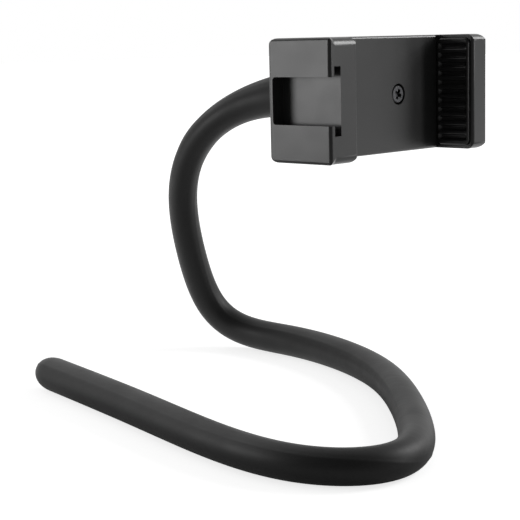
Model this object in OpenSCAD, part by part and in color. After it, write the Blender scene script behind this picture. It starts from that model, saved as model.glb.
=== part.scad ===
// Flexible clamp mount: a spring clamp for a phone, on a bendable arm that stands on its own loop.
// Millimetres, Z up. X runs along the clamp, Y from the phone's side to the back.
// The origin is on the surface that the loop rests on, in the middle of the footprint.

/* [Clamp] */
// Length of the closed clamp, over both jaws
clamp_l = 72; // [68:1:90]
// Height of the jaws and the housing
clamp_h = 34; // [34:1:44]
// How far the jaws stand in front of the phone plate
jaw_reach = 12.8; // [9:0.2:16]
// Thickness of the housing behind the phone plate
housing_t = 9.6; // [9.6:0.2:13]
// Thickness of the sliding jaw, with the accessory shoe in its outer face
slide_jaw_t = 11; // [10:0.5:14]
// Thickness of the fixed jaw
fixed_jaw_t = 7; // [6:0.5:9]
// How far the sliding jaw opens
travel = 30; // [20:1:34]
// Radius of the housing's long edges at the back
back_round = 2; // [0.5:0.1:2.2]
// Radius of the long edges at the front
front_round = 0.8; // [0.3:0.1:1.2]
// Radius of the jaws' upright edges
edge_round = 0.9; // [0.5:0.1:1]
// Radius of the sliding jaw's back corners, seen from its end
corner_round = 3; // [1:0.1:3]
// Radius of the fixed jaw's outer corners, seen from the phone's side
outer_round = 3.5; // [1:0.1:3.5]

/* [Housing] */
// Thickness of the phone plate
plate_t = 2.4; // [2:0.1:3]
// Thickness of the housing's top and bottom walls
side_wall = 3; // [2.6:0.1:3.4]
// Thickness of the back cover
cover_t = 1.8; // [1.4:0.1:2.2]
// Gap around the back cover in its seat
cover_gap = 0.15; // [0.1:0.05:0.3]
// Diameter of the bearing ring on the back cover
hub_d = 18; // [16:0.5:22]
// Height of the bearing ring
hub_h = 0.8; // [0.4:0.1:1.5]

/* [Slide] */
// Height of each rail
rail_h = 7; // [6.6:0.1:7.2]
// Running gap on every side of a rail
slide_gap = 0.2; // [0.15:0.05:0.3]
// Thickness of a rail's side walls
rail_wall = 1.4; // [1:0.1:1.5]
// Thickness of a rail's back
rail_back = 1.1; // [0.8:0.1:1.4]
// Gap between the closed jaw and the housing
closed_gap = 0.4; // [0.2:0.1:1]
// Diameter of the four spring pins
pin_d = 1.6; // [1.2:0.1:2]
// Outer diameter of the two springs
spring_d = 3.6; // [3:0.1:3.8]
// Wire diameter of the springs
spring_wire = 0.5; // [0.4:0.05:0.6]
// Turns of each spring
spring_turns = 24; // [12:1:30]

/* [Accessory shoe] */
// Width of the shoe's slot behind the lips
shoe_slot_w = 18.6; // [18.6:0.05:18.8]
// Width of the opening between the lips
shoe_mouth_w = 13; // [12.5:0.1:13.5]
// Thickness of the lips
shoe_lip_t = 1.7; // [1.4:0.1:2]
// Height of the slot behind the lips
shoe_slot_t = 2.6; // [2.2:0.1:3]
// Wall that closes the slot at the back
shoe_end_t = 1.5; // [1:0.1:3]

/* [Jaw pads] */
// Thickness of a pad
pad_t = 2; // [1.4:0.1:2.6]
// Depth of the recess that a pad is glued into
pad_seat = 1; // [0.5:0.1:1.2]
// Margin between a pad and the front of its jaw
pad_margin = 1.2; // [1.2:0.1:3]
// Margin above and below the fixed jaw's pad
fixed_pad_margin = 1.1; // [1.1:0.1:3]
// Margin above and below the sliding jaw's pad
slide_pad_margin = 2.1; // [1.4:0.1:3]
// Distance from one rib to the next
rib_pitch = 2.7; // [2:0.1:4]
// Radius of the grooves between the ribs
groove_r = 1; // [0.6:0.05:1.2]
// Smooth rim around the ribs
pad_rim = 1.3; // [1:0.1:2.5]
// Radius of a pad's front corners
pad_corner = 1.6; // [0.6:0.1:3]

/* [Swivel] */
// Distance of the swivel screw from the clamp's outer left face
swivel_x = 45.5; // [42:0.5:48]
// Thread diameter of the swivel screw
screw_d = 3; // [3:0.5:3.5]
// Diameter of the swivel screw's head
head_d = 5.5; // [5.2:0.1:6]
// Height of the swivel screw's head
head_h = 1.3; // [1:0.1:1.6]
// Diameter of the head's recess in the phone plate
recess_d = 6.2; // [6.2:0.1:7]
// Radial play of the screw in the clamp
screw_play = 0.08; // [0.05:0.01:0.1]
// Thickness of the flat washer under the head
washer_t = 0.5; // [0.3:0.1:0.6]
// Thickness of the friction disc
friction_t = 0.8; // [0.5:0.1:1.2]
// Height of the disc spring as fitted
disc_spring_t = 0.8; // [0.6:0.1:1]
// Length of the screw under its head
screw_l = 16; // [14:1:18]

/* [Arm] */
// Height of the clamp's underside above the surface
clamp_z = 72; // [72:1:100]
// Diameter of the core wire
core_d = 4.4; // [3:0.2:5]
// Play of the core wire in the sleeve and the socket
core_play = 0.15; // [0.1:0.05:0.3]
// Diameter of the sleeve's flared mouth at the clamp
boot_d = 17; // [16.5:0.5:20]
// Length of the rounded tip
tip_l = 10; // [6:0.5:14]
// Solid rubber beyond the core's end cap
tip_wall = 5; // [4:0.5:10]
// Diameter of the socket's barrel
barrel_d = 8; // [7:0.2:9]
// Length of the socket's barrel
barrel_l = 20; // [18:1:24]
// Diameter of the socket's flange
flange_d = 13.6; // [12:0.2:14]
// Thickness of the socket's flange
flange_t = 1.6; // [1.2:0.1:2.5]

/* [Hidden] */
$fn = 48;
eps = 0.1;

moulded = "#26272a";
rubber = "#1c1c1e";
steel = "#b9bcc0";
nylon = "#d8d6cf";
alloy = "#a7abb0";

// The clamp is drawn from its own corner: outer left face, jaw fronts, underside
clamp_x = -12;
clamp_back_y = -10;
clamp_d = jaw_reach + housing_t;
clamp_at = [clamp_x, clamp_back_y - clamp_d, clamp_z];
mid_z = clamp_h / 2;

// Planes of the housing, in the clamp's own frame
housing_x = slide_jaw_t + closed_gap;
plate_y = jaw_reach;
inner_y = plate_y + plate_t;
cover_y = clamp_d - cover_t;
jaw_x = clamp_l - fixed_jaw_t;
pad_gap = 0.08;
pad_foot = 0.2;
inner_round = slide_pad_margin - 0.3;

// The phone's face of the plate: a lead-in at the left end and a groove at the fixed jaw keep it clear of the pads
lead_in = max(0.2, pad_t - pad_seat - closed_gap + 0.2);
groove_w = pad_t - pad_seat + 0.15;
groove_t = 0.4;

// Rails, lower one first; the upper one is its mirror image
rail_y = inner_y + slide_gap;
rail_t = cover_y - inner_y - 2 * slide_gap;
rail_z = side_wall + slide_gap;
channel_w = rail_h - 2 * rail_wall;
channel_t = rail_t - rail_back;
channel_z = rail_z + rail_wall;
guide_z = rail_z + rail_h + slide_gap;
guide_t = 1;

// Spring line, and the two pins on it
spring_y = rail_y + spring_d / 2 + 0.1;
spring_z = channel_z + channel_w / 2;
housing_pin_x = jaw_x - 3;
jaw_pin_x = slide_jaw_t + 4;
rail_end_x = housing_pin_x + 4;
cavity_end_x = rail_end_x + 0.8;
pin_depth = 1.3;

// The stop lug stands in a notch of the rail and ends the travel both ways
lug_x = housing_x + 15;
lug_w = 1.8;
lug_t = 2.2;
lug_reach = 1.3;
stop_gap = 0.3;

// Back cover and its screws
cover_edge = back_round + 0.1 + cover_gap;
cover_end_x = clamp_l - 1.6;
cover_screw_d = 1.7;
cover_screw_head_d = 3.4;
cover_screw_l = 6;
cover_screw_play = 0.1;
left_screw_x = housing_x + 5.6;
right_screw_x = (cavity_end_x + cover_end_x) / 2;
right_screw_z = 7;
cover_screw_places = [
    [left_screw_x, mid_z], [right_screw_x, clamp_h - right_screw_z], [right_screw_x, right_screw_z]
];

// Inside the housing: the screw's boss, the post of the left cover screw, and the rib across the boss
boss_d = 11;
post_d = 5;
rib_t = 1.2;
rib_depth = 2.5;

// Swivel stack, from the phone plate to the arm
recess_t = washer_t + head_h + 0.1;
washer_y = plate_y + recess_t - washer_t;
hub_y = clamp_d + hub_h;
disc_y = hub_y + friction_t;
flange_y = disc_y + disc_spring_t;
barrel_end_y = flange_y + flange_t + barrel_l;
boot_gap = 0.4;
mouth_y = hub_y + boot_gap;

// The arm's axis is a smooth curve drawn by these points: it leaves the clamp along Y, hooks down
// behind it and ends in a loop on the surface. The clamp end has x, y, z and the sleeve's diameter,
// the hook has its height as a share of the clamp's, and the loop lies on the surface.
arm_x = clamp_x + swivel_x;
arm_y = clamp_back_y + hub_h + boot_gap;
arm_z = clamp_z + mid_z;
boot_points = [[arm_x, arm_y, arm_z, boot_d], [arm_x, 7.5, arm_z, 16], [arm_x, 23.5, arm_z, 14]];
hook_points = [
    [29.5, 42.5, 0.96, 10], [26.5, 60, 0.835, 9.5], [28.5, 70.5, 0.63, 9.7], [35.5, 73, 0.375, 9.9], [41.5, 71, 0.15, 10]
];
loop_points = [
    [47.5, 60, 10.2], [49.5, 39, 10.3], [43.5, 11.5, 10.2], [30, -16.5, 10], [9, -40.5, 9.8], [-12.5, -61, 9.6],
    [-30.5, -74.5, 9.4], [-46, -73, 9.2], [-56.5, -57, 9.2], [-55, -29.5, 9.6], [-44, 12.5, 10.2], [-31.5, 71, 10.4]
];
arm_points = concat(
    boot_points,
    [for (p = hook_points) [p[0], p[1], p[2] * arm_z, p[3]]],
    [for (p = loop_points) [p[0], p[1], p[2] / 2, p[2]]]
);
arm_steps = 4;
arm_sides = 16;

// Along the arm: how deep the core sits in the socket, and the pockets of the sleeve around the socket
core_r = core_d / 2;
core_depth = 9.5;
core_end_gap = 0.3;
core_from = barrel_end_y - core_depth + core_end_gap - mouth_y;
bore_r = core_r + core_play + 0.05;
pocket_gap = 0.3;
flange_to = flange_y + flange_t + pocket_gap - mouth_y;
barrel_to = barrel_end_y + pocket_gap - mouth_y;

// Back from the tip: the cap's place in the rubber, and the core's end in the cap
cap_wall = 0.9;
cap_l = 6;
cap_r = core_r + core_play + cap_wall;
cap_from = tip_wall + 0.2;
core_to = cap_from + cap_wall + 0.2;
cap_to = cap_from + cap_l;

// Points of a quarter circle, and the outline of a rectangle with a radius of its own at each corner
function quarter(c, r, a, n = 6) =
    r <= 0 ? [c] : [for (i = [0:n]) c + r * [cos(a + 90 * i / n), sin(a + 90 * i / n)]];
function soft_rect(w, h, r) = concat(
    quarter([r[0], r[0]], r[0], 180), quarter([w - r[1], r[1]], r[1], 270),
    quarter([w - r[2], h - r[2]], r[2], 0), quarter([r[3], h - r[3]], r[3], 90));

// Uniform cubic spline through a rod's points, with both ends running straight out
function spline_at(a, b, c, d, u) =
    (pow(1 - u, 3) * a + (3 * pow(u, 3) - 6 * pow(u, 2) + 4) * b
    + (-3 * pow(u, 3) + 3 * pow(u, 2) + 3 * u + 1) * c + pow(u, 3) * d) / 6;
function spline(q, steps) =
    let (n = len(q), p = concat([2 * q[0] - q[1]], q, [2 * q[n - 1] - q[n - 2]]))
    concat([for (i = [0:n - 2], k = [0:steps - 1])
        spline_at(p[i], p[i + 1], p[i + 2], p[i + 3], k / steps)], [q[n - 1]]);
function place(p) = [p[0], p[1], p[2]];
function unit(v) = v / norm(v);
function reversed(v) = [for (i = [len(v) - 1:-1:0]) v[i]];

// Directions along a rod, side directions that turn with it as little as possible, and distances
function tangents(p) = let (n = len(p)) [for (i = [0:n - 1]) unit(p[min(i + 1, n - 1)] - p[max(i - 1, 0)])];
function across(v, t) = unit(v - (v * t) * t);
function sides_of(t, v) = [for (i = 0, s = across(v, t[0]); i < len(t); i = i + 1, s = i < len(t) ? across(s, t[i]) : s) s];
function distances(p) = [for (i = 0, d = 0; i < len(p); i = i + 1, d = i < len(p) ? d + norm(p[i] - p[i - 1]) : d) d];

// A ring of points around c, and a closed skin over a row of such rings
function ring(c, t, s, r, n) =
    let (b = cross(t, s)) [for (k = [0:n - 1]) c + r * (cos(360 * k / n) * s + sin(360 * k / n) * b)];
module skin(rings) {
    n = len(rings[0]);
    last = len(rings) - 1;
    walls = [for (i = [0:last - 1], k = [0:n - 1]) each [
        [i * n + k, (i + 1) * n + k, (i + 1) * n + (k + 1) % n],
        [i * n + k, (i + 1) * n + (k + 1) % n, i * n + (k + 1) % n]]];
    polyhedron([for (r = rings) each r],
        concat([[for (k = [0:n - 1]) k]], walls, [[for (k = [n - 1:-1:0]) last * n + k]]), convexity = 10);
}

// Extrusions of an outline drawn in (y, z), (x, z) or (x, y)
module along_x(l) rotate([90, 0, 90]) linear_extrude(l) children();
module along_y(l) translate([0, l, 0]) rotate([90, 0, 0]) linear_extrude(l) children();
// A round bar along Y, and what the lower and the upper rail both have
module bar_y(d, l) rotate([-90, 0, 0]) cylinder(d = d, h = l);
module mirror_up() translate([0, 0, clamp_h]) mirror([0, 0, 1]) children();
module both() {
    children();
    mirror_up() children();
}
module in_clamp() translate(clamp_at) children();
module on_swivel(y) translate([swivel_x, y, mid_z]) children();

// Cross recess of a screw whose head ends at y = 0 and faces -Y
module cross_recess(w, t) for (turn = [0, 90]) rotate([0, turn + 25, 0])
    translate([-w / 2, -eps, -w / 9]) cube([w, t + eps, w / 4.5]);

// Outline of a jaw seen from its end: square at the phone plate's side, soft at the back
module end_outline(y) translate([y, 0])
    polygon(soft_rect(clamp_d - y, clamp_h, [front_round, back_round, back_round, front_round]));

// Housing: phone plate, fixed jaw and guides in one moulding, open at the back
module housing() color(moulded) in_clamp() difference() {
    union() {
        translate([housing_x, 0, 0]) along_x(jaw_x + 2 - housing_x) end_outline(plate_y);
        intersection() {
            translate([jaw_x, 0, 0]) along_x(fixed_jaw_t) end_outline(0);
            translate([jaw_x, 0, 0]) linear_extrude(clamp_h)
                polygon(soft_rect(fixed_jaw_t, clamp_d, [edge_round, edge_round, back_round, 0]));
            translate([jaw_x, 0, 0]) along_y(clamp_d)
                polygon(soft_rect(fixed_jaw_t, clamp_h, [0, outer_round, outer_round, 0]));
        }
    }
    difference() {
        housing_hollow();
        on_swivel(inner_y - eps) bar_y(boss_d, cover_y - inner_y + eps);
        translate([left_screw_x, inner_y - eps, mid_z]) bar_y(post_d, cover_y - inner_y + eps);
        both() translate([lug_x, inner_y - eps, guide_z - lug_reach]) cube([lug_w, lug_t + eps, lug_reach + eps]);
        translate([swivel_x - rib_t / 2, inner_y - eps, guide_z]) cube([rib_t, rib_depth, clamp_h - 2 * guide_z]);
    }
    translate([housing_x - eps, cover_y, 0]) along_y(cover_t + eps)
        translate([0, cover_edge - cover_gap]) polygon(soft_rect(cover_end_x + cover_gap - housing_x + eps,
            clamp_h - 2 * (cover_edge - cover_gap), [0, 1, 1, 0]));
    on_swivel(plate_y - eps) bar_y(recess_d, recess_t + eps);
    on_swivel(plate_y) bar_y(screw_d + 2 * screw_play, housing_t);
    both() translate([housing_pin_x, inner_y - pin_depth, spring_z]) bar_y(pin_d, pin_depth + eps);
    for (p = cover_screw_places) translate([p[0], clamp_d - cover_screw_l - 0.6, p[1]])
        bar_y(cover_screw_d + cover_screw_play, cover_screw_l);
    translate([jaw_x, pad_margin, fixed_pad_margin]) along_x(pad_seat) pad_outline(fixed_pad_margin, pad_gap);
    translate([jaw_x - groove_w, plate_y - eps, -eps]) cube([groove_w, groove_t + eps, clamp_h + 2 * eps]);
    translate([housing_x - eps, plate_y - eps, -eps]) linear_extrude(clamp_h + 2 * eps)
        polygon([[0, 0], [lead_in + 2 * eps, 0], [0, lead_in + 2 * eps]]);
}

// Hollow of the housing: two rail tunnels that open to the left, and a chamber between their guides
module housing_hollow() {
    both() translate([housing_x - eps, inner_y, side_wall])
        cube([cavity_end_x - housing_x + eps, cover_y - inner_y + eps, guide_z - side_wall]);
    translate([housing_x + 1.8, inner_y, guide_z + guide_t])
        cube([cavity_end_x - housing_x - 1.8, cover_y - inner_y + eps, clamp_h - 2 * (guide_z + guide_t)]);
}

// Back cover: a flat plate in the housing's back, with the ring that the arm bears on
module back_cover() color(moulded) in_clamp() difference() {
    union() {
        translate([housing_x, cover_y, 0]) along_y(cover_t) translate([0, cover_edge])
            polygon(soft_rect(cover_end_x - housing_x, clamp_h - 2 * cover_edge, [0, 0.8, 0.8, 0]));
        on_swivel(clamp_d - eps) bar_y(hub_d, hub_h + eps);
    }
    on_swivel(cover_y - eps) bar_y(screw_d + 2 * screw_play, cover_t + hub_h + 2 * eps);
    for (p = cover_screw_places) translate([p[0], cover_y - eps, p[1]]) {
        bar_y(cover_screw_d + 2 * cover_screw_play, cover_t + 2 * eps);
        translate([0, cover_t + eps - 1, 0]) rotate([-90, 0, 0])
            cylinder(d1 = cover_screw_d + 2 * cover_screw_play, d2 = cover_screw_head_d + 2 * cover_screw_play, h = 1);
        translate([0, cover_t + eps, 0]) bar_y(cover_screw_head_d + 2 * cover_screw_play, 1);
    }
}

// Countersunk self-tapping screw of the back cover, with its head flush at the back
module cover_screw(i) color(steel) in_clamp()
    translate([cover_screw_places[i][0], clamp_d, cover_screw_places[i][1]]) mirror([0, 1, 0]) difference() {
        union() {
            rotate([-90, 0, 0]) cylinder(d1 = cover_screw_head_d, d2 = cover_screw_d, h = 1);
            bar_y(cover_screw_d, cover_screw_l);
        }
        cross_recess(2, 0.7);
    }

// Outline of a pad's seat in (y, z); grow widens it by the glue gap
module pad_outline(margin, grow = 0) translate([-grow, -grow])
    polygon(soft_rect(jaw_reach - pad_margin - pad_foot + 2 * grow, clamp_h - 2 * margin + 2 * grow,
        [pad_corner, 0.6, 0.6, pad_corner]));

// Rubber pad with ribs that run front to back inside a smooth rim; its face looks along -X
module jaw_pad(margin) {
    pad_h = clamp_h - 2 * margin;
    grooves = floor((pad_h - 2 * pad_rim) / rib_pitch);
    first = (pad_h - (grooves - 1) * rib_pitch) / 2;
    difference() {
        along_x(pad_t) pad_outline(margin);
        for (i = [0:grooves - 1]) translate([0, pad_rim, first + i * rib_pitch]) bar_y(2 * groove_r, jaw_reach);
    }
}
module fixed_jaw_pad() color(rubber) in_clamp()
    translate([jaw_x + pad_seat - pad_t, pad_margin, fixed_pad_margin]) jaw_pad(fixed_pad_margin);
module sliding_jaw_pad() color(rubber) in_clamp()
    translate([slide_jaw_t - pad_seat + pad_t, pad_margin, slide_pad_margin]) mirror([1, 0, 0]) jaw_pad(slide_pad_margin);

// Sliding jaw: the gripping block with the accessory shoe, and its two channel rails
module sliding_jaw() color(moulded) in_clamp() difference() {
    union() {
        intersection() {
            along_x(slide_jaw_t)
                polygon(soft_rect(clamp_d, clamp_h, [front_round, corner_round, corner_round, front_round]));
            linear_extrude(clamp_h)
                polygon(soft_rect(slide_jaw_t, clamp_d, [edge_round, edge_round / 2, 0, edge_round]));
            union() {
                along_y(plate_y)
                    polygon(soft_rect(slide_jaw_t, clamp_h, [edge_round, inner_round, inner_round, edge_round]));
                translate([0, plate_y - eps, 0]) along_y(housing_t + eps)
                    polygon(soft_rect(slide_jaw_t, clamp_h, [edge_round, 0, 0, edge_round]));
            }
        }
        both() rail();
    }
    both() translate([jaw_pin_x, rail_y + channel_t - eps, spring_z]) bar_y(pin_d, rail_back + 2 * eps);
    translate([slide_jaw_t - pad_seat, pad_margin, slide_pad_margin])
        along_x(pad_seat + eps) pad_outline(slide_pad_margin, pad_gap);
    accessory_shoe();
}
module rail() difference() {
    translate([slide_jaw_t - 1, rail_y, rail_z]) cube([rail_end_x - slide_jaw_t + 1, rail_t, rail_h]);
    translate([slide_jaw_t + 0.8, rail_y - eps, channel_z]) cube([rail_end_x, channel_t + eps, channel_w]);
    translate([lug_x - stop_gap, rail_y - eps, channel_z + channel_w - eps])
        cube([lug_w + travel + 2 * stop_gap, lug_t + slide_gap + eps, rail_wall + 2 * eps]);
}

// Accessory shoe: a slot behind two lips in the outer face, open at the front and closed at the back
module accessory_shoe() {
    slot_l = clamp_d - shoe_end_t;
    translate([shoe_lip_t, -eps, mid_z - shoe_slot_w / 2]) along_x(shoe_slot_t)
        polygon(soft_rect(slot_l + eps, shoe_slot_w, [0, 1, 1, 0]));
    translate([-eps, -eps, mid_z - shoe_mouth_w / 2]) along_x(shoe_lip_t + 2 * eps)
        polygon(soft_rect(slot_l + eps, shoe_mouth_w, [0, 1, 1, 0]));
}

// Spring pins: one in the phone plate and one in the rail's back, on each spring's line
module housing_pin() color(steel)
    translate([housing_pin_x, inner_y - pin_depth, spring_z]) bar_y(pin_d, pin_depth + slide_gap + channel_t - 0.2);
module jaw_pin() color(steel)
    translate([jaw_pin_x, rail_y + 0.3, spring_z]) bar_y(pin_d, rail_t - 0.4);

// Extension spring from pin to pin: a hook around each pin and a coil between them, as one wire
module spring() color(steel) {
    coil_r = (spring_d - spring_wire) / 2;
    hook_r = (pin_d + spring_wire) / 2 + 0.1;
    span = housing_pin_x - jaw_pin_x;
    lead = hook_r + 1.2;
    steps = spring_turns * 9;
    hook = [for (a = [60:30:300]) hook_r * [cos(a), 0, sin(a)]];
    coil = [for (i = [0:steps]) let (a = 360 * spring_turns * i / steps)
        [lead + (span - 2 * lead) * i / steps, -coil_r * sin(a), -coil_r * cos(a)]];
    wire = concat(hook, coil, [for (p = reversed(hook)) [span - p[0], 0, p[2]]]);
    dirs = tangents(wire);
    sides = sides_of(dirs, [0, 1, 0]);
    translate([jaw_pin_x, spring_y, spring_z])
        skin([for (i = [0:len(wire) - 1]) ring(wire[i], dirs[i], sides[i], spring_wire / 2, 5)]);
}

// Swivel screw: cross-recessed pan head in the phone plate, thread in the arm's socket
module swivel_screw() color(steel) in_clamp() on_swivel(washer_y) difference() {
    union() {
        translate([0, -head_h, 0]) rotate([-90, 0, 0]) cylinder(d1 = head_d - 0.8, d2 = head_d, h = 0.5);
        translate([0, 0.5 - head_h, 0]) bar_y(head_d, head_h - 0.5);
        bar_y(screw_d, screw_l);
    }
    translate([0, -head_h, 0]) cross_recess(3, 0.9);
}
module flat_washer(od, id, t) difference() {
    bar_y(od, t);
    translate([0, -eps, 0]) bar_y(id, t + 2 * eps);
}
module screw_washer() color(steel) in_clamp() on_swivel(washer_y)
    flat_washer(recess_d - 0.3, screw_d + 0.2, washer_t);
module friction_disc() color(nylon) in_clamp() on_swivel(hub_y)
    flat_washer(flange_d - 0.6, screw_d + 0.3, friction_t);

// Disc spring: a coned washer that keeps the swivel stiff
module disc_spring() color(steel) in_clamp() on_swivel(disc_y) rotate([-90, 0, 0]) rotate_extrude()
    polygon([
        [screw_d / 2 + 0.15, disc_spring_t / 2], [flange_d / 2 - 1, 0],
        [flange_d / 2 - 1, disc_spring_t / 2], [screw_d / 2 + 0.15, disc_spring_t]
    ]);

// Socket: turned end fitting of the arm, tapped for the screw and crimped on the core wire
module arm_socket() color(alloy) in_clamp() on_swivel(flange_y) rotate([-90, 0, 0]) difference() {
    union() {
        cylinder(d = flange_d, h = flange_t);
        cylinder(d = barrel_d, h = flange_t + barrel_l);
    }
    translate([0, 0, -eps]) cylinder(d = screw_d + 0.1, h = screw_l - 5 + eps);
    translate([0, 0, flange_t + barrel_l - core_depth]) cylinder(d = core_d + 2 * core_play, h = core_depth + eps);
    for (z = [4, 8]) translate([0, 0, flange_t + barrel_l - z]) rotate_extrude()
        translate([barrel_d / 2 + 0.6, 0]) circle(d = 2);
}

// Path of the arm: places, sleeve diameters, directions and distances at every step
arm_path = spline(arm_points, arm_steps);
arm_places = [for (p = arm_path) place(p)];
arm_dirs = tangents(arm_places);
arm_across = sides_of(arm_dirs, [1, 0, 0]);
arm_dist = distances(arm_places);
arm_last = len(arm_places) - 1;
arm_l = arm_dist[arm_last];
tip_place = arm_places[arm_last];
tip_r = arm_path[arm_last][3] / 2;
function arm_ring(i, r) = ring(arm_places[i], arm_dirs[i], arm_across[i], r, arm_sides);
// A ring at a distance from the arm's straight start, or from its straight tip
function start_ring(d, r) = ring(arm_places[0] + d * arm_dirs[0], arm_dirs[0], arm_across[0], r, arm_sides);
function tip_ring(d, r) =
    ring(tip_place - d * arm_dirs[arm_last], arm_dirs[arm_last], arm_across[arm_last], r, arm_sides);
function steps_between(a, b) = [for (i = [0:arm_last]) if (arm_dist[i] > a && arm_dist[i] < b) i];

// Core: a soft aluminium wire that keeps the shape it is bent to
module arm_core() color(alloy) skin(concat(
    [start_ring(core_from, core_r)],
    [for (i = steps_between(core_from + 2, arm_l - core_to - 2)) arm_ring(i, core_r)],
    [tip_ring(core_to, core_r)]));

// End cap: a blunt cup over the wire's end, so that it cannot pierce the rubber
module core_cap() color(nylon) skin([
    tip_ring(cap_from + cap_wall, core_r + core_play), tip_ring(cap_to, core_r + core_play),
    tip_ring(cap_to, cap_r), tip_ring(cap_from + 1, cap_r), tip_ring(cap_from, cap_r - 1)]);

// Sleeve: moulded rubber over the wire, with a flared mouth at the clamp and a closed round tip
module arm_sleeve() color(rubber) skin(concat(
    [tip_ring(tip_wall, cap_r + 0.15), tip_ring(cap_to + 0.2, cap_r + 0.15), tip_ring(cap_to + 0.2, bore_r)],
    [for (i = reversed(steps_between(barrel_to + 2, arm_l - cap_to - 2))) arm_ring(i, bore_r)],
    [start_ring(barrel_to, bore_r), start_ring(barrel_to, barrel_d / 2 + core_play)],
    [start_ring(flange_to, barrel_d / 2 + core_play), start_ring(flange_to, flange_d / 2 + 0.3)],
    [start_ring(0, flange_d / 2 + 0.3), start_ring(0, boot_d / 2 - 0.6), start_ring(0.6, boot_d / 2)],
    [for (i = steps_between(0.6, arm_l - tip_l - 1)) arm_ring(i, arm_path[i][3] / 2)],
    [for (k = [0:6]) tip_ring(tip_l * (1 - sin(15 * k)), tip_r * tip_shape(sin(15 * k)))]));
function tip_shape(s) = max(0.08, pow(1 - pow(s, 2.6), 0.5));

housing();
back_cover();
cover_screw(0);  // cover_screw_left
cover_screw(1);  // cover_screw_upper
cover_screw(2);  // cover_screw_lower
fixed_jaw_pad();
sliding_jaw();
sliding_jaw_pad();
in_clamp() mirror_up() spring();  // upper_spring
in_clamp() spring();  // lower_spring
in_clamp() mirror_up() housing_pin();  // upper_housing_pin
in_clamp() housing_pin();  // lower_housing_pin
in_clamp() mirror_up() jaw_pin();  // upper_jaw_pin
in_clamp() jaw_pin();  // lower_jaw_pin
swivel_screw();
screw_washer();
friction_disc();
disc_spring();
arm_socket();
arm_core();
core_cap();
arm_sleeve();
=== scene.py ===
"""Spring phone clamp on a bendable rubber-covered arm that stands on its own loop, in metres."""
import math

import bmesh
import bpy
import numpy as np
from mathutils import Matrix, Vector


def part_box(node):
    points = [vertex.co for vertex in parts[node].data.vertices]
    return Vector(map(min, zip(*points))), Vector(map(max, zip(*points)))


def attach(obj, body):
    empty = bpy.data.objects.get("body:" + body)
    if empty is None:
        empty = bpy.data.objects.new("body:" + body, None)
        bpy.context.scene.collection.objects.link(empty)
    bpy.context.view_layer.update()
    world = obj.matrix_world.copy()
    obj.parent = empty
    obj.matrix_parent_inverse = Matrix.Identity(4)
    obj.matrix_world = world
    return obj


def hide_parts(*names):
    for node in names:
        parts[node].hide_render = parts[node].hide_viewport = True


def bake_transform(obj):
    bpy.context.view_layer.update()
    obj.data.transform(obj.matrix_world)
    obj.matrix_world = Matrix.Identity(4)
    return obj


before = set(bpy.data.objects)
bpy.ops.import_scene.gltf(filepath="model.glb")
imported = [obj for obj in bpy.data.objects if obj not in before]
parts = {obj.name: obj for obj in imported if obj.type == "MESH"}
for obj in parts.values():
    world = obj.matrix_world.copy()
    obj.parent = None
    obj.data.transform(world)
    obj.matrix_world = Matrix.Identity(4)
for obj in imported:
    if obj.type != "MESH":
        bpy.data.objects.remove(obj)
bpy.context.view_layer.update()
scene = bpy.context.scene
mm = 0.001

# Viewpoint. A long lens stands low in front of the sliding jaw's corner, so that the shoe in the
# jaw's outer face, the phone plate and the whole loop of the arm are all seen at once.
camera_at = Vector((-301.8, -281.3, 106.0)) * mm
camera_turn = [math.radians(a) for a in (81.23, 1.29, -46.6)]
camera_lens = bpy.data.cameras.new("viewpoint")
camera_lens.sensor_width = 36
camera_lens.lens = 99.33
camera_lens.clip_start = 0.01
camera_lens.clip_end = 20
viewpoint = bpy.data.objects.new("viewpoint", camera_lens)
viewpoint.location = camera_at
viewpoint.rotation_euler = camera_turn
scene.collection.objects.link(viewpoint)
scene.camera = viewpoint
scene.view_settings.view_transform = "Standard"


# Housing and back cover. Black ABS, injection moulded: phone plate, guides and fixed jaw are one
# piece, and the cover is screwed into its open back. The tool is polished and lightly etched, so
# the faces are satin with a fine grain, and every edge has the small radius that a mould gives.
moulded_edge_mm = 0.15
cover_edge_mm = 0.12
fixed_jaw_round = 2.2 * mm
fixed_jaw_length = 9 * mm
smooth_below = math.radians(32)
bevel_above = math.radians(40)
flat_within = math.radians(0.5)
join_mm = 0.002
join_cut_mm = 0.01
cut_overlap = 0.012 * mm
cut_beyond = 0.5 * mm
round_points = 17


def grain_group():
    """Etched mould grain: noise at a scale in bumps per metre, as a height and as a speckle."""
    group = bpy.data.node_groups.new("etched_grain", "ShaderNodeTree")
    group.interface.new_socket("Scale", in_out="INPUT", socket_type="NodeSocketFloat")
    group.interface.new_socket("Height", in_out="OUTPUT", socket_type="NodeSocketFloat")
    group.interface.new_socket("Speckle", in_out="OUTPUT", socket_type="NodeSocketFloat")
    inside = group.nodes.new("NodeGroupInput")
    outside = group.nodes.new("NodeGroupOutput")
    place = group.nodes.new("ShaderNodeTexCoord")
    fine = group.nodes.new("ShaderNodeTexNoise")
    fine.inputs["Detail"].default_value = 2
    fine.inputs["Roughness"].default_value = 0.6
    speckle = group.nodes.new("ShaderNodeMapRange")
    speckle.inputs["From Min"].default_value = 0.35
    speckle.inputs["From Max"].default_value = 0.65
    group.links.new(place.outputs["Object"], fine.inputs["Vector"])
    group.links.new(inside.outputs["Scale"], fine.inputs["Scale"])
    group.links.new(fine.outputs["Fac"], outside.inputs["Height"])
    group.links.new(fine.outputs["Fac"], speckle.inputs["Value"])
    group.links.new(speckle.outputs["Result"], outside.inputs["Speckle"])
    return group


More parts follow.
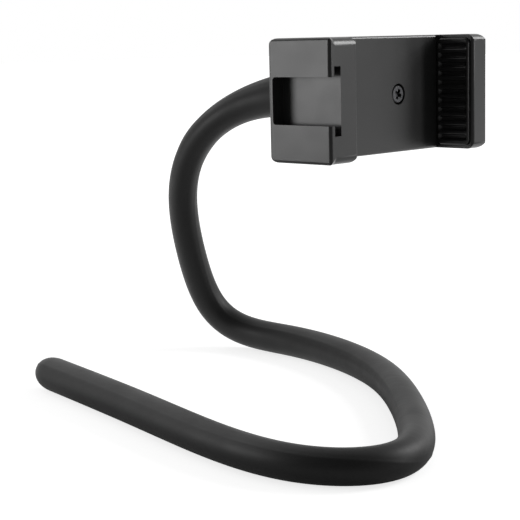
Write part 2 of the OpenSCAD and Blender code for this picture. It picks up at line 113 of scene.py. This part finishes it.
def handling_group():
    """Marks of handling: soft patches about 1/Patch metres wide, crossed by faint fine streaks."""
    group = bpy.data.node_groups.new("handling_marks", "ShaderNodeTree")
    group.interface.new_socket("Patch", in_out="INPUT", socket_type="NodeSocketFloat")
    group.interface.new_socket("Mask", in_out="OUTPUT", socket_type="NodeSocketFloat")
    inside = group.nodes.new("NodeGroupInput")
    outside = group.nodes.new("NodeGroupOutput")
    place = group.nodes.new("ShaderNodeTexCoord")
    patches = group.nodes.new("ShaderNodeTexNoise")
    patches.inputs["Detail"].default_value = 3
    stretch = group.nodes.new("ShaderNodeMapping")
    stretch.inputs["Rotation"].default_value = (0.4, 0.7, 0.3)
    stretch.inputs["Scale"].default_value = (1500, 90, 260)
    streaks = group.nodes.new("ShaderNodeTexNoise")
    streaks.inputs["Scale"].default_value = 1
    streaks.inputs["Detail"].default_value = 1
    blend = group.nodes.new("ShaderNodeMath")
    blend.operation = "MULTIPLY_ADD"
    blend.inputs[1].default_value = 0.35
    group.links.new(place.outputs["Object"], patches.inputs["Vector"])
    group.links.new(inside.outputs["Patch"], patches.inputs["Scale"])
    group.links.new(place.outputs["Object"], stretch.inputs["Vector"])
    group.links.new(stretch.outputs["Vector"], streaks.inputs["Vector"])
    group.links.new(streaks.outputs["Fac"], blend.inputs[0])
    group.links.new(patches.outputs["Fac"], blend.inputs[2])
    group.links.new(blend.outputs["Value"], outside.inputs["Mask"])
    return group


etched_grain = grain_group()
handling_marks = handling_group()


def finish_material(name, dark, light, smooth, rough, grain, bump_mm, patch, metallic=0.0, specular=0.5):
    """A surface over etched grain: its speckle mixes two colours, its handling marks two roughnesses."""
    material = bpy.data.materials.new(name)
    material.use_nodes = True
    tree = material.node_tree
    shader = tree.nodes["Principled BSDF"]
    shader.inputs["Metallic"].default_value = metallic
    shader.inputs["Specular IOR Level"].default_value = specular
    texture = tree.nodes.new("ShaderNodeGroup")
    texture.node_tree = etched_grain
    texture.inputs["Scale"].default_value = grain
    marks = tree.nodes.new("ShaderNodeGroup")
    marks.node_tree = handling_marks
    marks.inputs["Patch"].default_value = patch
    colour = tree.nodes.new("ShaderNodeMix")
    colour.data_type = "RGBA"
    colour.inputs["A"].default_value = (*dark, 1)
    colour.inputs["B"].default_value = (*light, 1)
    gloss = tree.nodes.new("ShaderNodeMapRange")
    gloss.inputs["From Min"].default_value = 0.4
    gloss.inputs["From Max"].default_value = 0.9
    gloss.inputs["To Min"].default_value = smooth
    gloss.inputs["To Max"].default_value = rough
    bump = tree.nodes.new("ShaderNodeBump")
    bump.inputs["Strength"].default_value = 1
    bump.inputs["Distance"].default_value = bump_mm * mm
    tree.links.new(texture.outputs["Speckle"], colour.inputs["Factor"])
    tree.links.new(colour.outputs["Result"], shader.inputs["Base Color"])
    tree.links.new(marks.outputs["Mask"], gloss.inputs["Value"])
    tree.links.new(gloss.outputs["Result"], shader.inputs["Roughness"])
    tree.links.new(texture.outputs["Height"], bump.inputs["Height"])
    tree.links.new(bump.outputs["Normal"], shader.inputs["Normal"])
    return material


def shading_group():
    """Joins loose triangles, and shades smoothly wherever two faces meet at less than smooth_below."""
    group = bpy.data.node_groups.new("moulded_shading", "GeometryNodeTree")
    group.interface.new_socket("Geometry", in_out="INPUT", socket_type="NodeSocketGeometry")
    group.interface.new_socket("Geometry", in_out="OUTPUT", socket_type="NodeSocketGeometry")
    inside = group.nodes.new("NodeGroupInput")
    outside = group.nodes.new("NodeGroupOutput")
    plain = group.nodes.new("GeometryNodeRemoveAttribute")
    plain.inputs["Name"].default_value = "custom_normal"
    join = group.nodes.new("GeometryNodeMergeByDistance")
    join.inputs["Distance"].default_value = join_mm * mm
    faces = group.nodes.new("GeometryNodeSetShadeSmooth")
    faces.domain = "FACE"
    faces.inputs["Shade Smooth"].default_value = True
    angle = group.nodes.new("GeometryNodeInputMeshEdgeAngle")
    shallow = group.nodes.new("FunctionNodeCompare")
    shallow.operation = "LESS_THAN"
    shallow.inputs["B"].default_value = smooth_below
    edges = group.nodes.new("GeometryNodeSetShadeSmooth")
    edges.domain = "EDGE"
    group.links.new(inside.outputs["Geometry"], plain.inputs["Geometry"])
    group.links.new(plain.outputs["Geometry"], join.inputs["Geometry"])
    group.links.new(join.outputs["Geometry"], faces.inputs["Geometry"])
    group.links.new(faces.outputs["Geometry"], edges.inputs["Geometry"])
    group.links.new(angle.outputs["Unsigned Angle"], shallow.inputs["A"])
    group.links.new(shallow.outputs["Result"], edges.inputs["Shade Smooth"])
    group.links.new(edges.outputs["Geometry"], outside.inputs["Geometry"])
    return group


moulded_shading = shading_group()


def finish(piece, material, edge_mm=0.0):
    """Gives a piece its material, smooth shading, and a small radius on its sharp edges."""
    piece.data.materials.clear()
    piece.data.materials.append(material)
    smooth = piece.modifiers.new("shading", "NODES")
    smooth.node_group = moulded_shading
    if edge_mm:
        flats = piece.modifiers.new("flats", "DECIMATE")
        flats.decimate_type = "DISSOLVE"
        flats.angle_limit = flat_within
        edge = piece.modifiers.new("edge", "BEVEL")
        edge.limit_method = "ANGLE"
        edge.angle_limit = bevel_above
        edge.width = edge_mm * mm
        edge.segments = 2
        edge.use_clamp_overlap = True
        flat = piece.modifiers.new("flat_faces", "WEIGHTED_NORMAL")
        flat.mode = "FACE_AREA"
        flat.weight = 80
        flat.keep_sharp = True


def dress(name, material, edge_mm=0.0):
    """Finishes a node of the part as it is."""
    finish(parts[name], material, edge_mm)


def ring_faces(rings):
    """Four-sided faces from each closed ring of points to the next, and a cap on the first and the last."""
    count, sides, _ = rings.shape
    i, k = np.meshgrid(np.arange(count - 1), np.arange(sides), indexing="ij")
    after = (k + 1) % sides
    quads = [i * sides + k, i * sides + after, (i + 1) * sides + after, (i + 1) * sides + k]
    ends = [list(range(sides))[::-1], list(range((count - 1) * sides, count * sides))]
    return np.stack(quads, -1).reshape(-1, 4).tolist() + ends


def corner_bar(x, radius, front, edge_z, up):
    """A closed bar along x that fills a front corner outside a quarter circle.

    Its section at each x is a square round the corner, less a circle of the radius there that touches
    the front and the top (up = 1) or bottom (up = -1). The circle is sunk a little, to cut cleanly."""
    turn = np.linspace(0, math.pi / 2, round_points)[None]
    r = radius[:, None]
    depth = r - cut_overlap
    beyond = cut_beyond + 0 * r
    y = np.concatenate([front + depth - r * np.cos(turn), front + depth, front - beyond, front - beyond], 1)
    z = edge_z + up * np.concatenate([r * np.sin(turn) - depth, beyond, beyond, -depth], 1)
    rings = np.stack([x[:, None] + 0 * y, y, z], -1)
    bar = bpy.data.meshes.new("corner_bar")
    bar.from_pydata(rings.reshape(-1, 3).tolist(), [], ring_faces(rings))
    whole = bmesh.new()
    whole.from_mesh(bar)
    bmesh.ops.recalc_face_normals(whole, faces=whole.faces)
    whole.to_mesh(bar)
    whole.free()
    return bar


def merged(mesh, distance_mm):
    """A mesh with the points that lie this near each other joined, and its slivers dissolved."""
    whole = bmesh.new()
    whole.from_mesh(mesh)
    bmesh.ops.remove_doubles(whole, verts=whole.verts, dist=distance_mm * mm)
    bmesh.ops.dissolve_degenerate(whole, edges=whole.edges, dist=distance_mm * mm)
    whole.to_mesh(mesh)
    whole.free()
    return mesh


def recut(name, node, body, cutters, material, edge_mm):
    """A merged copy of a node, less the closed meshes in cutters, that takes the node's place."""
    piece = bpy.data.objects.new(name, merged(parts[node].data.copy(), join_mm))
    scene.collection.objects.link(piece)
    cutters = [bpy.data.objects.new("cutter", cutter) for cutter in cutters]
    for cutter in cutters:
        scene.collection.objects.link(cutter)
        cut = piece.modifiers.new("cut", "BOOLEAN")
        cut.operation = "DIFFERENCE"
        cut.solver = "EXACT"
        cut.object = cutter
    whole = piece.evaluated_get(bpy.context.evaluated_depsgraph_get())
    piece.data = merged(bpy.data.meshes.new_from_object(whole), join_cut_mm)
    piece.modifiers.clear()
    for cutter in cutters:
        bpy.data.objects.remove(cutter)
    finish(piece, material, edge_mm)
    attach(piece, body)
    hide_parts(node)


def softened(name, node, body, x, radius):
    """A copy of a node, its front corners at top and bottom cut to a radius that may change along x."""
    low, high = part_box(node)
    bars = [corner_bar(x, radius, low.y, z, up) for z, up in ((high.z, 1), (low.z, -1))]
    recut(name, node, body, bars, moulded_black, moulded_edge_mm)


moulded_black = finish_material(
    "moulded_black", dark=(0.011, 0.011, 0.011), light=(0.015, 0.015, 0.015), smooth=0.30, rough=0.35,
    grain=5200, bump_mm=0.0015, patch=110)
jaw_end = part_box("housing")[1].x
fixed_jaw_x = np.array([jaw_end - fixed_jaw_length, jaw_end + cut_beyond])
softened("housing_moulding", "housing", "clamp", fixed_jaw_x, np.full(2, fixed_jaw_round))
dress("back_cover", moulded_black, cover_edge_mm)


# Sliding jaw. The same moulding compound: a gripping block with two long channel rails, and the
# slot for an accessory's foot cut behind two lips in its outer face. The round of the front's top
# and bottom edges starts small at the outer face and grows, as half a cosine wave, to its full size.
face_round = 0.9 * mm
full_round = 2.6 * mm
grows_over = 2.4 * mm
growth_steps = 9
jaw_thick = 11 * mm
outer_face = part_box("sliding_jaw")[0].x
jaw_x = outer_face + np.concatenate([
    [-cut_beyond], np.linspace(0, grows_over, growth_steps), [jaw_thick + cut_beyond]])
growth = 0.5 - 0.5 * np.cos(math.pi * np.clip((jaw_x - outer_face) / grows_over, 0, 1))
jaw_round = face_round + (full_round - face_round) * growth
softened("sliding_jaw_moulding", "sliding_jaw", "jaw", jaw_x, jaw_round)


# Jaw pads. Soft black rubber, pressed with ribs inside a smooth raised rim and glued into the
# recess of each jaw. The ribs run from front to back, so that a phone slides in but can't drop.
rib_pitch = 2.7 * mm
groove_depth = 0.75 * mm
groove_steep = 0.75
rim_width = 0.7 * mm
rim_slope = 0.35 * mm
pad_edge = 0.5 * mm
pad_corner = 1.6 * mm
row_step = 0.12 * mm
edge_rows = 8
corner_rows = 7
points_across = 30
doubled_within = 0.001 * mm


def piece_from(name, points, faces, material, body):
    """A smooth mesh of the points and faces, with doubled points merged, that moves with a body."""
    mesh = bpy.data.meshes.new(name)
    mesh.from_pydata(points.reshape(-1, 3).tolist(), [], faces)
    whole = bmesh.new()
    whole.from_mesh(mesh)
    bmesh.ops.remove_doubles(whole, verts=whole.verts, dist=doubled_within)
    whole.to_mesh(mesh)
    whole.free()
    mesh.shade_smooth()
    mesh.materials.append(material)
    piece = bpy.data.objects.new(name, mesh)
    scene.collection.objects.link(piece)
    if body:
        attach(piece, body)
    return piece


def ribbed_pad(name, node, facing, body):
    """A rounded rectangle in (y, z), lowered by d(inset, z) and closed by its sides and its glued back.

    d = groove_depth times a cosine wave along z, steepened and clipped to 0..1, that fades out at the
    rim, plus the drop of a quarter-round edge: e - sqrt(e^2 - (e - inset)^2) where the inset from the
    outline is under e. facing is the side along x that the ribs look to."""
    low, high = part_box(node)
    size_y, size_z = high.y - low.y, high.z - low.z
    edge = pad_edge * (1 - np.cos(np.linspace(0, math.pi / 2, edge_rows)))
    end = np.concatenate([edge, np.linspace(pad_edge, pad_corner, corner_rows)[1:]])
    between = np.arange(pad_corner + row_step, size_z - pad_corner, row_step)
    rows = np.concatenate([end, between, size_z - end[::-1]])
    from_end = np.minimum(rows, size_z - rows)
    short = pad_corner - np.sqrt(pad_corner**2 - np.clip(pad_corner - from_end, 0, None) ** 2)
    width = (size_y - 2 * short)[:, None]
    across = pad_edge + (width - 2 * pad_edge) * np.linspace(0, 1, points_across)[None, 1:-1]
    y = np.concatenate([edge[None, :] + 0 * width, across, width - edge[None, ::-1]], 1)
    y += short[:, None] - size_y / 2
    z = rows[:, None] - size_z / 2 + 0 * y
    past = np.stack([np.abs(y) - size_y / 2, np.abs(z) - size_z / 2]) + pad_corner
    inset = pad_corner - np.linalg.norm(np.clip(past, 0, None), axis=0) - np.minimum(past.max(0), 0)
    count = int((size_z - 2 * rim_width) / rib_pitch)
    phase = z / rib_pitch + (0.5 if count % 2 == 0 else 0)
    groove = np.clip(0.5 + groove_steep * np.cos(2 * math.pi * phase), 0, 1)
    groove[np.abs(z) > count * rib_pitch / 2] = 0
    fade = np.clip((inset - rim_width) / rim_slope, 0, 1)
    rounded = pad_edge - np.sqrt(pad_edge**2 - np.clip(pad_edge - inset, 0, pad_edge) ** 2)
    depth = groove_depth * groove * fade * fade * (3 - 2 * fade) + rounded
    front, back = (low.x, high.x) if facing < 0 else (high.x, low.x)
    face = np.stack([front - facing * depth, y + (low.y + high.y) / 2, z + (low.z + high.z) / 2], -1)
    r, c = face.shape[:2]
    at = np.arange(r * c).reshape(r, c)
    quads = np.stack([at[:-1, :-1], at[:-1, 1:], at[1:, 1:], at[1:, :-1]], -1).reshape(-1, 4)
    rim = np.concatenate([at[0, :-1], at[:-1, -1], at[-1, :0:-1], at[:0:-1, 0]])
    glued = face.reshape(-1, 3)[rim]
    glued[:, 0] = back
    below = r * c + np.arange(len(rim))
    sides = np.stack([rim, below, np.roll(below, -1), np.roll(rim, -1)], -1)
    faces = np.concatenate([quads, sides]).tolist() + [below[::-1].tolist()]
    if facing < 0:
        faces = [f[::-1] for f in faces]
    pad = piece_from(name, np.concatenate([face.reshape(-1, 3), glued]), faces, pad_rubber, body)
    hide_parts(node)


pad_rubber = finish_material(
    "pad_rubber", dark=(0.007, 0.007, 0.007), light=(0.010, 0.010, 0.010), smooth=0.30, rough=0.38,
    grain=2600, bump_mm=0.006, patch=150)
ribbed_pad("fixed_pad_ribs", "fixed_jaw_pad", -1, "clamp")
ribbed_pad("sliding_pad_ribs", "sliding_jaw_pad", 1, "jaw")


# Springs and their pins. Two extension springs of bright steel wire lie in the rails' channels and
# pull the jaw home. Each is hooked round a pin in the plate and a pin in the rail.
spring_steel = finish_material(
    "spring_steel", dark=(0.52, 0.52, 0.53), light=(0.62, 0.62, 0.63), smooth=0.22, rough=0.34,
    grain=3000, bump_mm=0.001, patch=300, metallic=1.0)
wire_r = 0.25 * mm
wire_sides = 8
hook_r = 1.15 * mm
hook_neck = 1.2 * mm
hook_points = 24
spring_turns = 24
points_per_turn = 18
pin_edge_mm = 0.1


def unit(vectors):
    """Each vector at length 1."""
    return vectors / np.linalg.norm(vectors, axis=1)[:, None]


def circles(ahead, lean, turn):
    """Unit circles squared to the directions ahead: cos(turn) times side plus sin(turn) times other.

    side is square to ahead and to lean, and other is square to ahead and to side."""
    side = unit(np.cross(ahead, lean))
    other = np.cross(ahead, side)
    return np.cos(turn)[None, :, None] * side[:, None] + np.sin(turn)[None, :, None] * other[:, None]


def coil_spring(name, node, jaw_pin, housing_pin):
    """A hook round each pin and a helix between them, as one wire."""
    low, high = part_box(node)
    centre = (low + high) / 2
    coil_r = (high.z - low.z) / 2 - wire_r
    at_jaw = (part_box(jaw_pin)[0].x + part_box(jaw_pin)[1].x) / 2
    at_housing = (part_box(housing_pin)[0].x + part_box(housing_pin)[1].x) / 2
    lead = hook_r + hook_neck
    bend = np.radians(np.linspace(60, 300, hook_points))
    hook = np.stack([hook_r * np.cos(bend), 0 * bend, hook_r * np.sin(bend)], -1)
    wind = np.linspace(0, 2 * math.pi * spring_turns, spring_turns * points_per_turn)
    coil = np.stack([
        np.linspace(at_jaw + lead, at_housing - lead, len(wind)),
        centre.y - coil_r * np.sin(wind), centre.z - coil_r * np.cos(wind)], -1)
    first = hook + (at_jaw, centre.y, centre.z)
    last = hook[::-1] * (-1, 1, 1) + (at_housing, centre.y, centre.z)
    path = np.concatenate([first, coil, last])
    ring = circles(unit(np.gradient(path, axis=0)), (0.3, 1.0, 0.2),
                   2 * math.pi * np.arange(wire_sides) / wire_sides)
    rings = path[:, None] + wire_r * ring
    spring = piece_from(name, rings, ring_faces(rings), spring_steel, None)
    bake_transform(spring)
    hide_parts(node)


coil_spring("upper_coil", "upper_spring", "upper_jaw_pin", "upper_housing_pin")
coil_spring("lower_coil", "lower_spring", "lower_jaw_pin", "lower_housing_pin")
for pin in ("upper_housing_pin", "lower_housing_pin", "upper_jaw_pin", "lower_jaw_pin"):
    dress(pin, spring_steel, pin_edge_mm)


# Screws and washers. Steel with a black zinc plating: three small countersunk screws hold the cover,
# and a larger pan head with its washer sits in the plate's recess and joins the clamp to the arm. The
# coned washer under it is bright spring steel.
zinc_plate = finish_material(
    "zinc_plate", dark=(0.085, 0.085, 0.09), light=(0.12, 0.12, 0.125), smooth=0.24, rough=0.36,
    grain=3500, bump_mm=0.001, patch=500, metallic=1.0)
cross_length = 3.1 * mm
cross_width = 1.05 * mm
cross_depth = 0.8 * mm
cross_turns = (25, 115)
screw_edge_mm = 0.08
washer_edge_mm = 0.05


def cross_slot(turn):
    """One slot of the swivel screw's cross: a box as deep in its head as above it, turned about its axis."""
    low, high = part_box("swivel_screw")
    axis = (low + high) / 2
    middle = Matrix.Translation((axis.x, low.y, axis.z))
    size = Matrix.Diagonal((cross_length, 2 * cross_depth, cross_width, 1))
    box = bpy.data.meshes.new("cross_slot")
    whole = bmesh.new()
    bmesh.ops.create_cube(whole, size=1, matrix=middle @ Matrix.Rotation(math.radians(turn), 4, "Y") @ size)
    whole.to_mesh(box)
    whole.free()
    return box


for screw in ("cover_screw_left", "cover_screw_upper", "cover_screw_lower"):
    dress(screw, zinc_plate, screw_edge_mm)
recut("swivel_screw_head", "swivel_screw", "arm", [cross_slot(turn) for turn in cross_turns],
      zinc_plate, screw_edge_mm)
dress("screw_washer", zinc_plate, washer_edge_mm)
dress("disc_spring", spring_steel, washer_edge_mm)


# Inside the swivel and the arm. A nylon disc rubs on the cover's ring, a turned aluminium socket
# takes the screw, and a soft aluminium wire with a nylon cap on its end runs through the arm.
turned_edge_mm = 0.08
natural_nylon = finish_material(
    "natural_nylon", dark=(0.70, 0.69, 0.64), light=(0.78, 0.77, 0.72), smooth=0.35, rough=0.5,
    grain=1800, bump_mm=0.004, patch=200)
turned_alloy = finish_material(
    "turned_alloy", dark=(0.66, 0.67, 0.69), light=(0.74, 0.75, 0.77), smooth=0.25, rough=0.4,
    grain=2500, bump_mm=0.002, patch=300, metallic=1.0)
dress("friction_disc", natural_nylon, turned_edge_mm)
dress("core_cap", natural_nylon)
dress("arm_socket", turned_alloy, turned_edge_mm)
dress("arm_core", turned_alloy)


# Sleeve of the arm. Matt black rubber, moulded over the wire in a two-part tool that leaves a fine
# line along each side. It flares into a lipped mouth at the clamp and ends in a blunt round tip.
arm_z = 89
# Points in mm: x, y, height and diameter. The hook's heights are shares of arm_z, and the loop's
# points have none, because the loop lies on the table.
boot = [(33.5, -8.8, arm_z, 17), (33.5, 7.5, arm_z, 16), (33.5, 23.5, arm_z, 14)]
hook = [
    (29.5, 42.5, 0.96, 10), (26.5, 60, 0.835, 9.5), (28.5, 70.5, 0.63, 9.7), (35.5, 73, 0.375, 9.9),
    (41.5, 71, 0.15, 10)]
loop = [
    (47.5, 60, 10.2), (49.5, 39, 10.3), (43.5, 11.5, 10.2), (30, -16.5, 10), (9, -40.5, 9.8),
    (-12.5, -61, 9.6), (-30.5, -74.5, 9.4), (-46, -73, 9.2), (-56.5, -57, 9.2), (-55, -29.5, 9.6),
    (-44, 12.5, 10.2), (-31.5, 71, 10.4)]
points_per_span = 14
first_ring = 1.5 * mm
ring_step = 1.6 * mm
lip_rings = 5
tip_rings = 18
sleeve_sides = 72
lip_length = 0.8 * mm
lip_drop = 0.6 * mm
tip_length = 10 * mm
tip_power = 2.6
tip_least = 0.004
mouth_bore = 7.1 * mm
mouth_depth = 2.6 * mm
mouth_chamfer = 0.3 * mm
part_line = 0.10 * mm
part_line_share = 0.06
part_line_fades = 3 * mm


def spline(points, per_span):
    """Uniform cubic spline drawn by its points, whose ends run straight out, as (x, y, z, diameter)."""
    ends = np.vstack([2 * points[0] - points[1], points, 2 * points[-1] - points[-2]])
    u = np.linspace(0, 1, per_span, endpoint=False)[None, :, None]
    a, b, c, d = (ends[i:len(ends) - 3 + i, None, :] for i in range(4))
    weights = (1 - u) ** 3, 3 * u**3 - 6 * u**2 + 4, -3 * u**3 + 3 * u**2 + 3 * u + 1, u**3
    curve = (weights[0] * a + weights[1] * b + weights[2] * c + weights[3] * d) / 6
    return np.vstack([curve.reshape(-1, points.shape[1]), points[-1]])


hook = [(x, y, share * arm_z, d) for x, y, share, d in hook]
loop = [(x, y, d / 2, d) for x, y, d in loop]
axis = spline(np.array(boot + hook + loop) * mm, points_per_span)
gone = np.concatenate([[0], np.cumsum(np.linalg.norm(np.diff(axis[:, :3], axis=0), axis=1))])
tip_start = gone[-1] - tip_length
even = np.concatenate([
    np.linspace(0, lip_length, lip_rings), np.arange(first_ring, tip_start, ring_step),
    gone[-1] - tip_length * (1 - np.sin(np.linspace(0, math.pi / 2, tip_rings)))])
centre = np.stack([np.interp(even, gone, axis[:, c]) for c in range(3)], -1)

# The radius drops by a quarter round over the lip, and at the tip by a curve blunter than a circle.
radius = np.interp(even, gone, axis[:, 3]) / 2
lip = np.clip(1 - even / lip_length, 0, 1)
radius -= lip_drop * (1 - np.sqrt(1 - lip**2))
left = np.clip((even - tip_start) / tip_length, 0, 1)
radius *= np.sqrt(np.clip(1 - left**tip_power, tip_least, 1))
ahead = np.gradient(axis[:, :3], axis=0)
ahead = unit(np.stack([np.interp(even, gone, ahead[:, c]) for c in range(3)], -1))
turn = 2 * math.pi * np.arange(sleeve_sides) / sleeve_sides
ring = circles(ahead, (1, 0, 1), turn)
ridge = part_line * np.exp(-(np.abs(np.sin(turn)) / part_line_share) ** 2)
grown = radius[:, None] + ridge[None, :] * np.clip(radius / part_line_fades, 0, 1)[:, None]
outside = centre[:, None] + grown[..., None] * ring
pocket = [(mouth_depth, mouth_bore), (mouth_chamfer, mouth_bore), (0, mouth_bore + mouth_chamfer)]
inside = np.stack([centre[0] + d * ahead[0] + r * ring[0] for d, r in pocket])
sleeve_rubber = finish_material(
    "sleeve_rubber", dark=(0.007, 0.007, 0.007), light=(0.010, 0.010, 0.010), smooth=0.45, rough=0.55,
    grain=3600, bump_mm=0.010, patch=70, specular=0.35)
rings = np.concatenate([inside, outside])
sleeve = piece_from("sleeve_skin", rings, ring_faces(rings), sleeve_rubber, "arm")
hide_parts("arm_sleeve")


# Table and light. A white table top that runs out of sight, in a room with a white wall behind the
# object and none behind the viewer. In reflections the table top glows as a painted reflection: white
# towards the wall's side, dark on the viewer's side. Four soft lamps: a large one high at the right in
# front, one high behind, and two small low ones, at the left behind and at the right in front.
floor_glow_near = 0.75
glow_rises = (0.12, 0.6)
table_grey = 0.5
table_reach = 6.0
room_level = 0.35
dark_side = 0.08
wall_side = Vector((0.73, 0.68, 0.2))
painted_reflection_white_at = 0.1
wall_white_at = 0.9
lamp_aim = Vector((0.0, 0.0, 0.06))
lamps = (
    ("left_low_light", (-0.272, 0.216, 0.105), 0.14, 0.32),
    ("back_light", (-0.10, 0.50, 0.50), 0.4, 0.5),
    ("high_right_light", (0.55, -0.35, 0.42), 0.3, 2.8),
    ("front_right_light", (0.33, -0.51, 0.14), 0.1, 0.4),
)
corners = [(x * table_reach, y * table_reach, 0) for x, y in ((-1, -1), (1, -1), (1, 1), (-1, 1))]
floor_mesh = bpy.data.meshes.new("table_top")
floor_mesh.from_pydata(corners, [], [(0, 1, 2, 3)])
table_top = bpy.data.objects.new("table_top", floor_mesh)
scene.collection.objects.link(table_top)


def value_between(tree, source, start, end, low, high):
    """A value that runs from low to high while its source runs from start to end."""
    node = tree.nodes.new("ShaderNodeMapRange")
    for socket, value in (("From Min", start), ("From Max", end), ("To Min", low), ("To Max", high)):
        node.inputs[socket].default_value = value
    tree.links.new(source, node.inputs["Value"])
    return node.outputs["Result"]


def combined(tree, operation, first, second):
    """Two values multiplied, or the larger of the two."""
    node = tree.nodes.new("ShaderNodeMath")
    node.operation = operation
    tree.links.new(first, node.inputs[0])
    tree.links.new(second, node.inputs[1])
    return node.outputs["Value"]


def towards_wall(tree, place, white_at):
    """How white a mirrored place is: dark_side at the viewer's side, up to 1 at the wall's side."""
    along = tree.nodes.new("ShaderNodeVectorMath")
    along.operation = "DOT_PRODUCT"
    along.inputs[1].default_value = wall_side
    tree.links.new(place, along.inputs[0])
    return value_between(tree, along.outputs["Value"], 0.0, white_at, dark_side, 1.0)


def seen_white(tree, seen_level, mirrored_level):
    """How white a surface looks: one level where it is seen or seen through, another where mirrored."""
    rays = tree.nodes.new("ShaderNodeLightPath")
    seen = combined(tree, "MAXIMUM", rays.outputs["Is Camera Ray"], rays.outputs["Is Transmission Ray"])
    if seen_level:
        seen = combined(tree, "MULTIPLY", seen, seen_level)
    mirrored = combined(tree, "MULTIPLY", rays.outputs["Is Glossy Ray"], mirrored_level)
    return combined(tree, "MAXIMUM", seen, mirrored)


pale = bpy.data.materials.new("pale_table")
pale.use_nodes = True
tree = pale.node_tree
base = tree.nodes["Principled BSDF"]
base.inputs["Base Color"].default_value = (table_grey, table_grey, table_grey, 1)
base.inputs["Roughness"].default_value = 0.9
base.inputs["Specular IOR Level"].default_value = 0.2
place = tree.nodes.new("ShaderNodeTexCoord").outputs["Object"]
away = tree.nodes.new("ShaderNodeVectorMath")
away.operation = "LENGTH"
tree.links.new(place, away.inputs[0])
glow_level = value_between(tree, away.outputs["Value"], *glow_rises, floor_glow_near, 1.0)
# Where the table is mirrored, its glow is a painted reflection: white towards the wall's side and dark on
# the viewer's side of the table.
glow_and_painted_reflection = seen_white(tree, glow_level, towards_wall(tree, place, painted_reflection_white_at))
glow = tree.nodes.new("ShaderNodeEmission")
tree.links.new(glow_and_painted_reflection, glow.inputs["Strength"])
both = tree.nodes.new("ShaderNodeAddShader")
tree.links.new(base.outputs["BSDF"], both.inputs[0])
tree.links.new(glow.outputs["Emission"], both.inputs[1])
tree.links.new(both.outputs["Shader"], tree.nodes["Material Output"].inputs["Surface"])
floor_mesh.materials.append(pale)

room = bpy.data.worlds.new("room")
scene.world = room
room.use_nodes = True
tree = room.node_tree
wall = tree.nodes["Background"]
wall.inputs["Color"].default_value = (1, 1, 1, 1)
place = tree.nodes.new("ShaderNodeTexCoord").outputs["Generated"]
rays = tree.nodes.new("ShaderNodeLightPath")
scattered = value_between(tree, rays.outputs["Is Diffuse Ray"], 0.0, 1.0, 0.0, room_level)
white = seen_white(tree, None, towards_wall(tree, place, wall_white_at))
tree.links.new(combined(tree, "MAXIMUM", white, scattered), wall.inputs["Strength"])

for name, spot, size, power in lamps:
    lamp = bpy.data.lights.new(name, "AREA")
    lamp.shape = "SQUARE"
    lamp.size = size
    lamp.energy = power
    light = bpy.data.objects.new(name, lamp)
    light.location = spot
    light.rotation_euler = (lamp_aim - Vector(spot)).to_track_quat("-Z", "Y").to_euler()
    scene.collection.objects.link(light)
